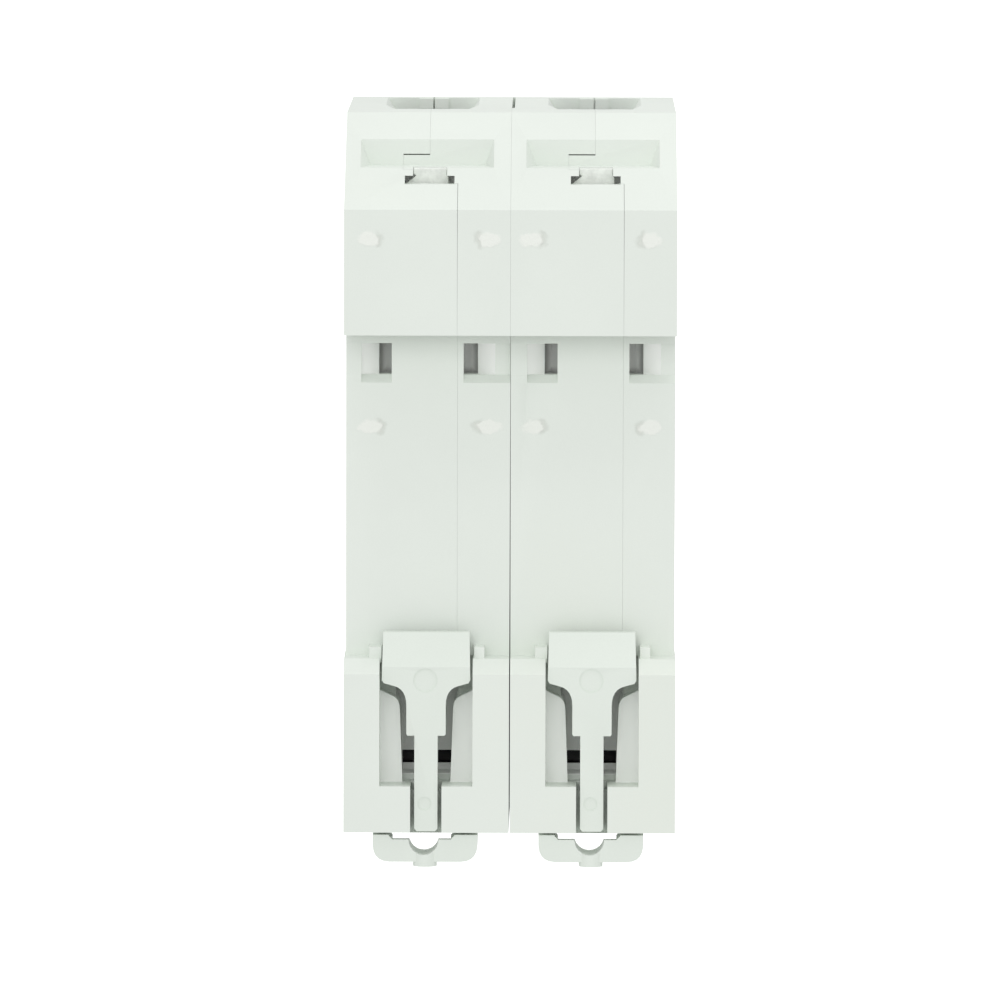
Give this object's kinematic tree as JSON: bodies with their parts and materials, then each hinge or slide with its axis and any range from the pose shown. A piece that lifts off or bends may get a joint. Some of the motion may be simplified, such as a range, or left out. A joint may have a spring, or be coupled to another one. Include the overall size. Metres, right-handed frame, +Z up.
{
  "type": "miniature circuit breaker",
  "caption": "Two-pole DIN-rail miniature circuit breaker with tied toggles, cage-clamp terminals, sprung rail clips and a full internal trip mechanism.",
  "frame": {"origin": "centre of the rail seat: middle of the width, on the plane the rail's flanges lie on, at the rail's centreline", "axes": "+Y out of the rear towards the rail, +Z up towards the line terminals, +X across the poles; toggles at the front, -Y"},
  "size_m": [0.036, 0.0745, 0.0812],
  "materials": {
    "shell": "fine matte moulded thermoset, pale grey-white",
    "clip": "satin moulded polyamide",
    "dark_plastic": "satin moulded",
    "spring_steel": "drawn wire",
    "steel": "machined",
    "zinc_steel": "zinc plated",
    "copper": "rolled copper strip",
    "contact_brass": "stamped",
    "brass": "turned",
    "enamelled_copper": "enamelled wire",
    "fibre": "vulcanised fibre with steel plates",
    "insert": "rough moulded",
    "brown_plastic": "moulded phenolic",
    "green_plastic": "satin moulded"
  },
  "bodies": {
    "housing": {"housing_base_1": "shell", "housing_cover_1": "shell", "coil_1": "enamelled_copper", "bobbin_1": "dark_plastic", "magnet_core_1": "steel", "magnet_yoke_1": "zinc_steel", "fixed_contact_1": "copper", "arc_chute_1": "fibre", "calibration_screw_1": "brass", "braid_1": "copper", "line_plate_1": "copper", "load_plate_1": "copper", "entry_insert_1": "insert", "housing_base_2": "shell", "housing_cover_2": "shell", "coil_2": "enamelled_copper", "bobbin_2": "dark_plastic", "magnet_core_2": "steel", "magnet_yoke_2": "zinc_steel", "fixed_contact_2": "copper", "arc_chute_2": "fibre", "calibration_screw_2": "brass", "braid_2": "copper", "line_plate_2": "copper", "load_plate_2": "copper", "entry_insert_2": "insert", "rivet_1": "zinc_steel", "rivet_2": "zinc_steel", "rivet_3": "zinc_steel", "rivet_4": "zinc_steel"},
    "toggle": {"toggle_1": "dark_plastic", "toggle_2": "dark_plastic", "handle_tie": "dark_plastic", "toggle_spring_1": "spring_steel", "toggle_spring_2": "spring_steel"},
    "trip_bar": {"trip_lever_1": "brown_plastic", "trip_lever_2": "brown_plastic", "trip_shaft": "steel"},
    "contact_arm_1": {"contact_arm_1": "contact_brass", "contact_spring_1": "spring_steel"},
    "drive_link_1": {"drive_link_1": "spring_steel"},
    "plunger_1": {"plunger_1": "steel"},
    "bimetal_1": {"bimetal_1": "steel"},
    "rail_clip_1": {"rail_clip_1": "clip"},
    "line_screw_1": {"line_screw_1": "zinc_steel"},
    "line_cage_1": {"line_cage_1": "zinc_steel"},
    "load_screw_1": {"load_screw_1": "zinc_steel"},
    "load_cage_1": {"load_cage_1": "zinc_steel"},
    "contact_flag_1": {"contact_flag_1": "green_plastic"},
    "contact_arm_2": {"contact_arm_2": "contact_brass", "contact_spring_2": "spring_steel"},
    "drive_link_2": {"drive_link_2": "spring_steel"},
    "plunger_2": {"plunger_2": "steel"},
    "bimetal_2": {"bimetal_2": "steel"},
    "rail_clip_2": {"rail_clip_2": "clip"},
    "line_screw_2": {"line_screw_2": "zinc_steel"},
    "line_cage_2": {"line_cage_2": "zinc_steel"},
    "load_screw_2": {"load_screw_2": "zinc_steel"},
    "load_cage_2": {"load_cage_2": "zinc_steel"},
    "contact_flag_2": {"contact_flag_2": "green_plastic"}
  },
  "joints": [
    {"name": "toggle_turn", "type": "hinge", "parent": "housing", "child": "toggle", "pos_m": [0, -0.0516, 0], "axis": [-1, 0, 0], "range_deg": [0, 70]},
    {"name": "trip_bar_turn", "type": "hinge", "parent": "housing", "child": "trip_bar", "pos_m": [0, -0.039, 0.01], "axis": [-1, 0, 0], "range_deg": [0, 6], "stiffness_Nm_per_rad": 0.02, "springref_deg": -11.46},
    {"name": "contact_arm_turn_1", "type": "hinge", "parent": "housing", "child": "contact_arm_1", "pos_m": [0.009, -0.031, 0.0005], "axis": [1, 0, 0], "range_deg": [0, 20.1]},
    {"name": "drive_link_turn_1", "type": "hinge", "parent": "toggle", "child": "drive_link_1", "pos_m": [0.009, -0.0481, 0.00194], "axis": [1, 0, 0], "range_deg": [0, 83.6]},
    {"name": "contact_flag_turn_1", "type": "hinge", "parent": "housing", "child": "contact_flag_1", "pos_m": [0.009, -0.05, 0.0145], "axis": [-1, 0, 0], "range_deg": [0, 24.1]},
    {"name": "plunger_slide_1", "type": "slide", "parent": "housing", "child": "plunger_1", "axis": [0, 0, -1], "range_m": [0, 0.002], "stiffness_N_per_m": 200, "springref_m": -0.002},
    {"name": "bimetal_bend_1", "type": "hinge", "parent": "housing", "child": "bimetal_1", "pos_m": [0.0125, -0.037, -0.0186], "axis": [1, 0, 0], "range_deg": [0, 4], "stiffness_Nm_per_rad": 0.5},
    {"name": "rail_clip_slide_1", "type": "slide", "parent": "housing", "child": "rail_clip_1", "axis": [0, 0, -1], "range_m": [0, 0.003], "stiffness_N_per_m": 1500, "springref_m": -0.002},
    {"name": "line_cage_slide_1", "type": "slide", "parent": "housing", "child": "line_cage_1", "axis": [0, -1, 0], "range_m": [0, 0.005]},
    {"name": "line_screw_turn_1", "type": "hinge", "parent": "housing", "child": "line_screw_1", "pos_m": [0.009, -0.038, 0.0315], "axis": [0, 1, 0], "range_deg": [0, 2251]},
    {"name": "load_cage_slide_1", "type": "slide", "parent": "housing", "child": "load_cage_1", "axis": [0, -1, 0], "range_m": [0, 0.005]},
    {"name": "load_screw_turn_1", "type": "hinge", "parent": "housing", "child": "load_screw_1", "pos_m": [0.009, -0.038, -0.0295], "axis": [0, 1, 0], "range_deg": [0, 2251]},
    {"name": "contact_arm_turn_2", "type": "hinge", "parent": "housing", "child": "contact_arm_2", "pos_m": [-0.009, -0.031, 0.0005], "axis": [1, 0, 0], "range_deg": [0, 20.1]},
    {"name": "drive_link_turn_2", "type": "hinge", "parent": "toggle", "child": "drive_link_2", "pos_m": [-0.009, -0.0481, 0.00194], "axis": [1, 0, 0], "range_deg": [0, 83.6]},
    {"name": "contact_flag_turn_2", "type": "hinge", "parent": "housing", "child": "contact_flag_2", "pos_m": [-0.009, -0.05, 0.0145], "axis": [-1, 0, 0], "range_deg": [0, 24.1]},
    {"name": "plunger_slide_2", "type": "slide", "parent": "housing", "child": "plunger_2", "axis": [0, 0, -1], "range_m": [0, 0.002], "stiffness_N_per_m": 200, "springref_m": -0.002},
    {"name": "bimetal_bend_2", "type": "hinge", "parent": "housing", "child": "bimetal_2", "pos_m": [-0.0055, -0.037, -0.0186], "axis": [1, 0, 0], "range_deg": [0, 4], "stiffness_Nm_per_rad": 0.5},
    {"name": "rail_clip_slide_2", "type": "slide", "parent": "housing", "child": "rail_clip_2", "axis": [0, 0, -1], "range_m": [0, 0.003], "stiffness_N_per_m": 1500, "springref_m": -0.002},
    {"name": "line_cage_slide_2", "type": "slide", "parent": "housing", "child": "line_cage_2", "axis": [0, -1, 0], "range_m": [0, 0.005]},
    {"name": "line_screw_turn_2", "type": "hinge", "parent": "housing", "child": "line_screw_2", "pos_m": [-0.009, -0.038, 0.0315], "axis": [0, 1, 0], "range_deg": [0, 2251]},
    {"name": "load_cage_slide_2", "type": "slide", "parent": "housing", "child": "load_cage_2", "axis": [0, -1, 0], "range_m": [0, 0.005]},
    {"name": "load_screw_turn_2", "type": "hinge", "parent": "housing", "child": "load_screw_2", "pos_m": [-0.009, -0.038, -0.0295], "axis": [0, 1, 0], "range_deg": [0, 2251]}
  ],
  "couplings": [
    {"joint": "line_screw_turn_1", "follows": "line_cage_slide_1", "rad_per_m": 7854},
    {"joint": "load_screw_turn_1", "follows": "load_cage_slide_1", "rad_per_m": 7854},
    {"joint": "contact_arm_turn_1", "follows": "toggle_turn", "ratio": 0.28571},
    {"joint": "drive_link_turn_1", "follows": "toggle_turn", "ratio": 1.1924},
    {"joint": "contact_flag_turn_1", "follows": "toggle_turn", "ratio": 0.34286},
    {"joint": "line_screw_turn_2", "follows": "line_cage_slide_2", "rad_per_m": 7854},
    {"joint": "load_screw_turn_2", "follows": "load_cage_slide_2", "rad_per_m": 7854},
    {"joint": "contact_arm_turn_2", "follows": "toggle_turn", "ratio": 0.28571},
    {"joint": "drive_link_turn_2", "follows": "toggle_turn", "ratio": 1.1924},
    {"joint": "contact_flag_turn_2", "follows": "toggle_turn", "ratio": 0.34286}
  ]
}
